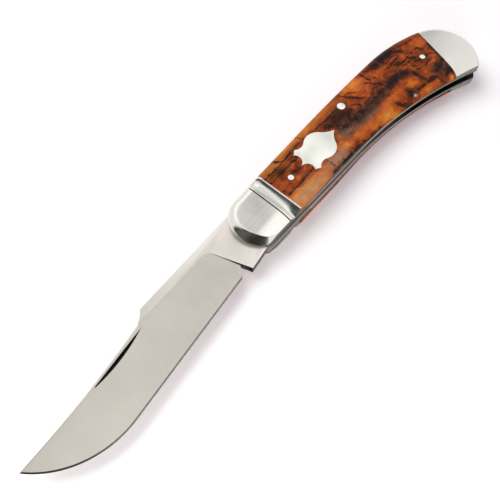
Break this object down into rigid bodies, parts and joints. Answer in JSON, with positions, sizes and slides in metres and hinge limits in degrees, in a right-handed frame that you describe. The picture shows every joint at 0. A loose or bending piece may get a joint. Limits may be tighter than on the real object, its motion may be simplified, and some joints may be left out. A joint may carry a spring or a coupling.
{
  "type": "folding pocket knife",
  "caption": "Slip-joint folding knife: a clip blade turns on a pivot between lined handle sides with metal bolsters, polished covers and an inlaid blank shield.",
  "frame": {"origin": "on the pivot axis, at the flat pile-side face the knife lies on", "axes": "+X along the handle from the pivot to its rear, +Y towards the spine, +Z from the pile side to the mark side along the pivot; the open blade points along -X"},
  "size_m": [0.1878, 0.0277, 0.01],
  "materials": {
    "blade": "satin ground",
    "spring": "satin",
    "bolster": "fine satin, polished cove",
    "liner": "satin",
    "pin": "polished",
    "shield": "polished",
    "cover": "polished natural bark, amber brown with dark veins"
  },
  "bodies": {
    "handle": {"pivot_bushing": "pin", "pivot_pin": "pin", "backspring": "spring", "center_pin": "pin", "rear_spring_pin": "pin", "shield": "shield", "shield_pins": "pin", "liner_mark_side": "liner", "front_bolster_mark_side": "bolster", "rear_bolster_mark_side": "bolster", "cover_mark_side": "cover", "front_cover_pin_mark_side": "pin", "rear_cover_pin_mark_side": "pin", "front_bolster_rivets_mark_side": "pin", "rear_bolster_rivets_mark_side": "pin", "liner_pile_side": "liner", "front_bolster_pile_side": "bolster", "rear_bolster_pile_side": "bolster", "cover_pile_side": "cover", "front_cover_pin_pile_side": "pin", "rear_cover_pin_pile_side": "pin", "front_bolster_rivets_pile_side": "pin", "rear_bolster_rivets_pile_side": "pin"},
    "blade": {"blade": "blade"}
  },
  "joints": [
    {"name": "blade_pivot", "type": "hinge", "parent": "handle", "child": "blade", "pos_m": [0, 0, 0.005], "axis": [0, 0, 1], "range_deg": [0, 170], "deforming": ["backspring"]}
  ]
}
